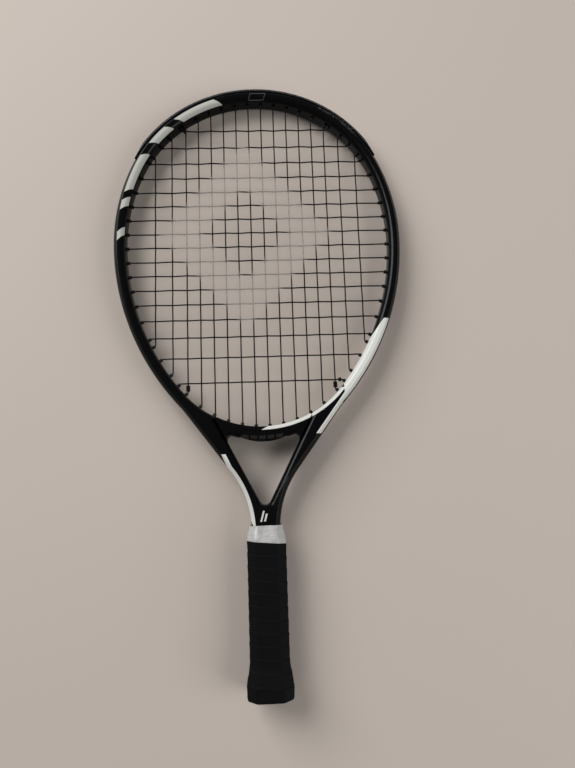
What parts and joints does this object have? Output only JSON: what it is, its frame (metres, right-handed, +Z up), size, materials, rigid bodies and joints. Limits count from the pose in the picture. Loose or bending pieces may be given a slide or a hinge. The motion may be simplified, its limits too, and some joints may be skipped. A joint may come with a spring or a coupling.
{
  "type": "tennis racket",
  "caption": "Strung junior tennis racket with an oval hoop, open throat with a curved bridge, octagonal wrapped grip and flared butt end.",
  "frame": {"origin": "middle of the bounding box's underside, the surface that the butt end rests on when the racket lies flat with its strings level", "axes": "+Y along the handle to the tip of the hoop, +Z up at right angles to the strings, +X across the head"},
  "size_m": [0.2818, 0.5862, 0.037],
  "materials": {
    "frame_paint": "satin black paint over a moulded composite tube, with a pearl white accent panel",
    "guard": "moulded nylon, scuffed along its outer edge",
    "grommet": "moulded nylon",
    "string": "black monofilament with a light stencil mark",
    "shell_foam": "rigid moulded foam",
    "plug_foam": "light rigid foam",
    "cap": "moulded plastic",
    "disc": "plain grey disc",
    "staple": "drawn wire",
    "base_grip": "cushioned synthetic grip",
    "overgrip": "tacky thin wrap with faint ridges",
    "tape": "silver-grey vinyl tape"
  },
  "bodies": {
    "root": {"frame_tube": "frame_paint", "throat_bridge": "frame_paint", "bumper_guard": "guard", "grommet_strip_right": "grommet", "grommet_strip_left": "grommet", "throat_grommet_strip": "grommet", "main_string": "string", "cross_string": "string", "tie_off_knots": "string", "handle_shell_front": "shell_foam", "handle_shell_back": "shell_foam", "shaft_plugs": "plug_foam", "butt_cap": "cap", "butt_cap_disc": "disc", "butt_cap_staples": "staple", "base_grip": "base_grip", "overgrip": "overgrip", "finishing_tape": "tape"}
  },
  "joints": []
}
